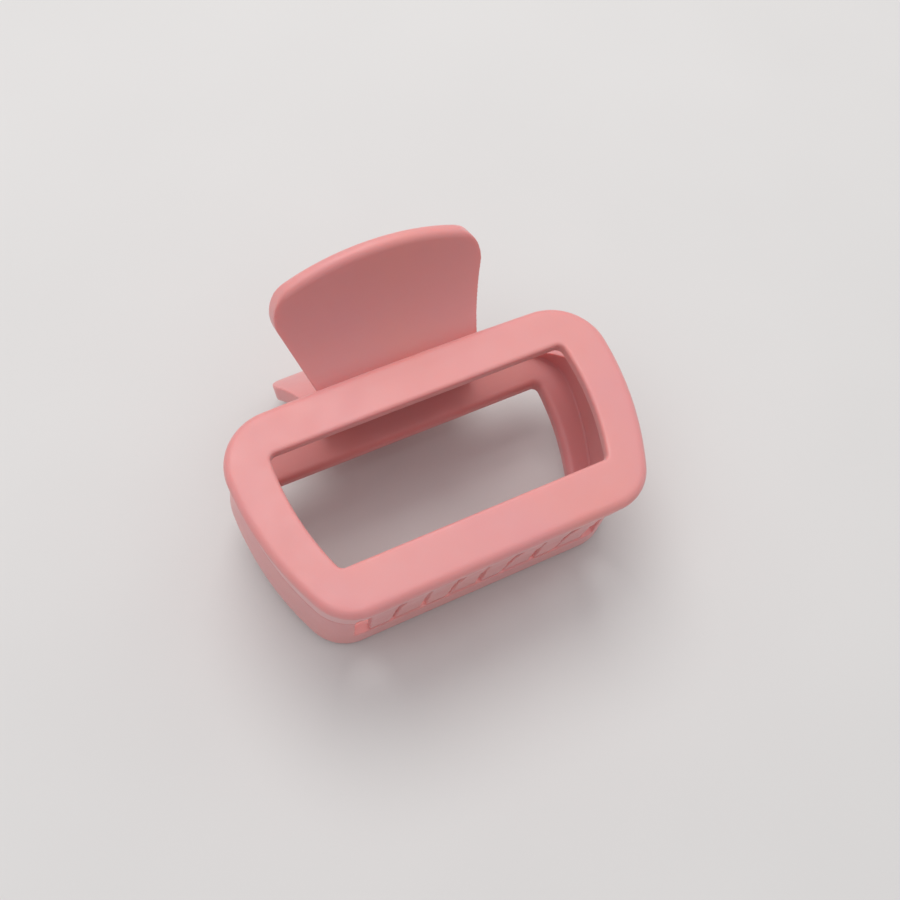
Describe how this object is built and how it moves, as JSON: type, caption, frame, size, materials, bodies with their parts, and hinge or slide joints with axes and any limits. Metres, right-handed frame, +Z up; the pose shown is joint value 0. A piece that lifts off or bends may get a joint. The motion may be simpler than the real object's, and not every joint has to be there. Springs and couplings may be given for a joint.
{
  "type": "claw clip",
  "caption": "Spring claw clip with open rectangular frames, meshing teeth and curved finger tabs, for holding hair",
  "frame": {"origin": "the bottom centre of the closed clip's box, as the clip lies on a table on its back jaw", "axes": "+X along the clip and its hinge pin; +Y from the teeth towards the hinge and the finger tabs; +Z up, from the back jaw to the front jaw. The clip's own mid-plane is tilted 10.8 degrees about X, hinge side up, because it rests on its back tab and on the teeth edge of its back jaw."},
  "size_m": [0.0856, 0.0746, 0.0605],
  "materials": {
    "jaw_plastic": "soft-touch matt pink moulded plastic",
    "pin_steel": "bright drawn wire",
    "spring_steel": "drawn spring wire"
  },
  "bodies": {
    "back": {"back_jaw": "jaw_plastic", "hinge_pin": "pin_steel", "torsion_spring": "spring_steel"},
    "front": {"front_jaw": "jaw_plastic"}
  },
  "joints": [
    {"name": "jaw_hinge", "type": "hinge", "parent": "back", "child": "front", "pos_m": [0, 0.0097, 0.0264], "axis": [-1, 0, 0], "range_deg": [0, 55], "stiffness_Nm_per_rad": 0.15, "springref_deg": -60.16, "deforming": ["torsion_spring"]}
  ]
}
